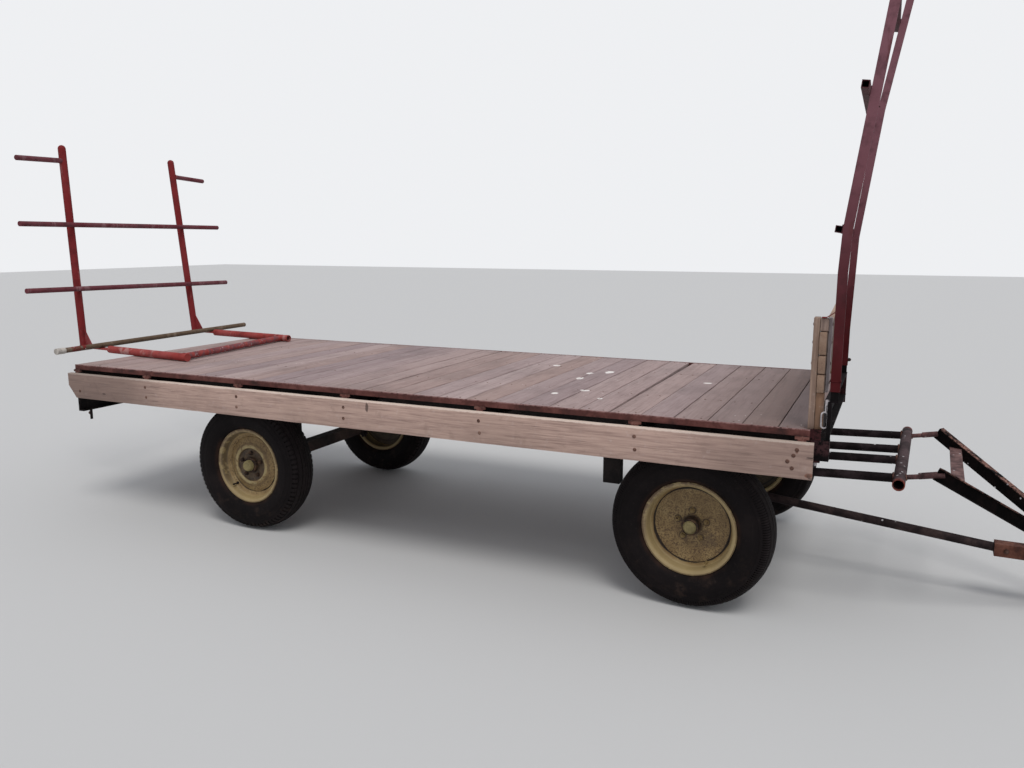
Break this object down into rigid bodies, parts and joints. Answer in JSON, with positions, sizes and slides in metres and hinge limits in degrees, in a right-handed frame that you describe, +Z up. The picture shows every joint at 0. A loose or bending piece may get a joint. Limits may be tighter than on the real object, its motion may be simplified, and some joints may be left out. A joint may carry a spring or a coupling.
{
  "type": "hay wagon",
  "caption": "Flat four-wheeled farm hay wagon with plank deck, side boards, tall front rack, loose rear rack and a turntable-steered front carriage with a drawbar.",
  "frame": {"origin": "on the ground, under the middle of the whole wagon's box", "axes": "+X forward to the tow eye, +Y to the wagon's left, +Z up"},
  "size_m": [6.5884, 2.2878, 3.0533],
  "materials": {
    "deck_wood": "weathered grey planks",
    "board_wood": "pale dry planed boards",
    "headboard_wood": "pale sawn wood",
    "pole_wood": "old worn paint",
    "maroon_paint": "dull maroon paint",
    "red_paint": "faded red paint",
    "rusty_steel": "rust and old paint",
    "dark_steel": "dark dull paint",
    "cream_paint": "old cream paint",
    "tyre": "worn rubber"
  },
  "bodies": {
    "wagon": {"deck_planks": "deck_wood", "edge_angles": "rusty_steel", "cross_members": "dark_steel", "main_beams": "dark_steel", "front_beam": "rusty_steel", "rear_beam": "dark_steel", "hanging_strap": "dark_steel", "side_board_left": "board_wood", "side_board_right": "board_wood", "board_brackets": "rusty_steel", "headboard_posts": "headboard_wood", "headboard_blocks": "headboard_wood", "headboard_planks": "headboard_wood", "headboard_battens": "headboard_wood", "rack_posts": "maroon_paint", "rack_stubs": "dark_steel", "rack_bars": "maroon_paint", "tail_base": "red_paint", "tail_uprights": "red_paint", "tail_rails": "red_paint", "pole": "pole_wood", "rear_axle": "rusty_steel", "rear_pedestals": "dark_steel", "turntable_upper": "dark_steel", "bolsters": "dark_steel", "king_pin": "dark_steel", "stop_posts": "dark_steel"},
    "front_carriage": {"turntable_lower": "dark_steel", "carriage_frame": "dark_steel", "carriage_pedestals": "dark_steel", "front_axle": "rusty_steel", "tow_tubes": "rusty_steel", "tow_cross_tube": "rusty_steel", "frame_rods": "rusty_steel", "frame_channels": "rusty_steel", "drawbar_tube": "rusty_steel", "coupler_bar": "rusty_steel", "tow_eye": "rusty_steel", "frame_plate": "rusty_steel"},
    "front_left_wheel_set": {"front_left_tyre": "tyre", "front_left_wheel": "cream_paint", "front_left_hub": "cream_paint"},
    "front_right_wheel_set": {"front_right_tyre": "tyre", "front_right_wheel": "cream_paint", "front_right_hub": "cream_paint"},
    "rear_left_wheel_set": {"rear_left_tyre": "tyre", "rear_left_wheel": "cream_paint", "rear_left_hub": "cream_paint"},
    "rear_right_wheel_set": {"rear_right_tyre": "tyre", "rear_right_wheel": "cream_paint", "rear_right_hub": "cream_paint"}
  },
  "joints": [
    {"name": "steering", "type": "hinge", "parent": "wagon", "child": "front_carriage", "pos_m": [1.45507, -0.0633, 0.65], "axis": [0, 0, 1], "range_deg": [-23.2, 26.8]},
    {"name": "front_left_spin", "type": "hinge", "parent": "front_carriage", "child": "front_left_wheel_set", "pos_m": [1.47679, 0.62786, 0.381], "axis": [0.0314, 0.9995, 0], "continuous": true},
    {"name": "front_right_spin", "type": "hinge", "parent": "front_carriage", "child": "front_right_wheel_set", "pos_m": [1.43335, -0.75446, 0.381], "axis": [0.0314, 0.9995, 0], "continuous": true},
    {"name": "rear_left_spin", "type": "hinge", "parent": "wagon", "child": "rear_left_wheel_set", "pos_m": [-1.16493, 0.6282, 0.381], "axis": [0, 1, 0], "continuous": true},
    {"name": "rear_right_spin", "type": "hinge", "parent": "wagon", "child": "rear_right_wheel_set", "pos_m": [-1.16493, -0.7548, 0.381], "axis": [0, 1, 0], "continuous": true}
  ]
}
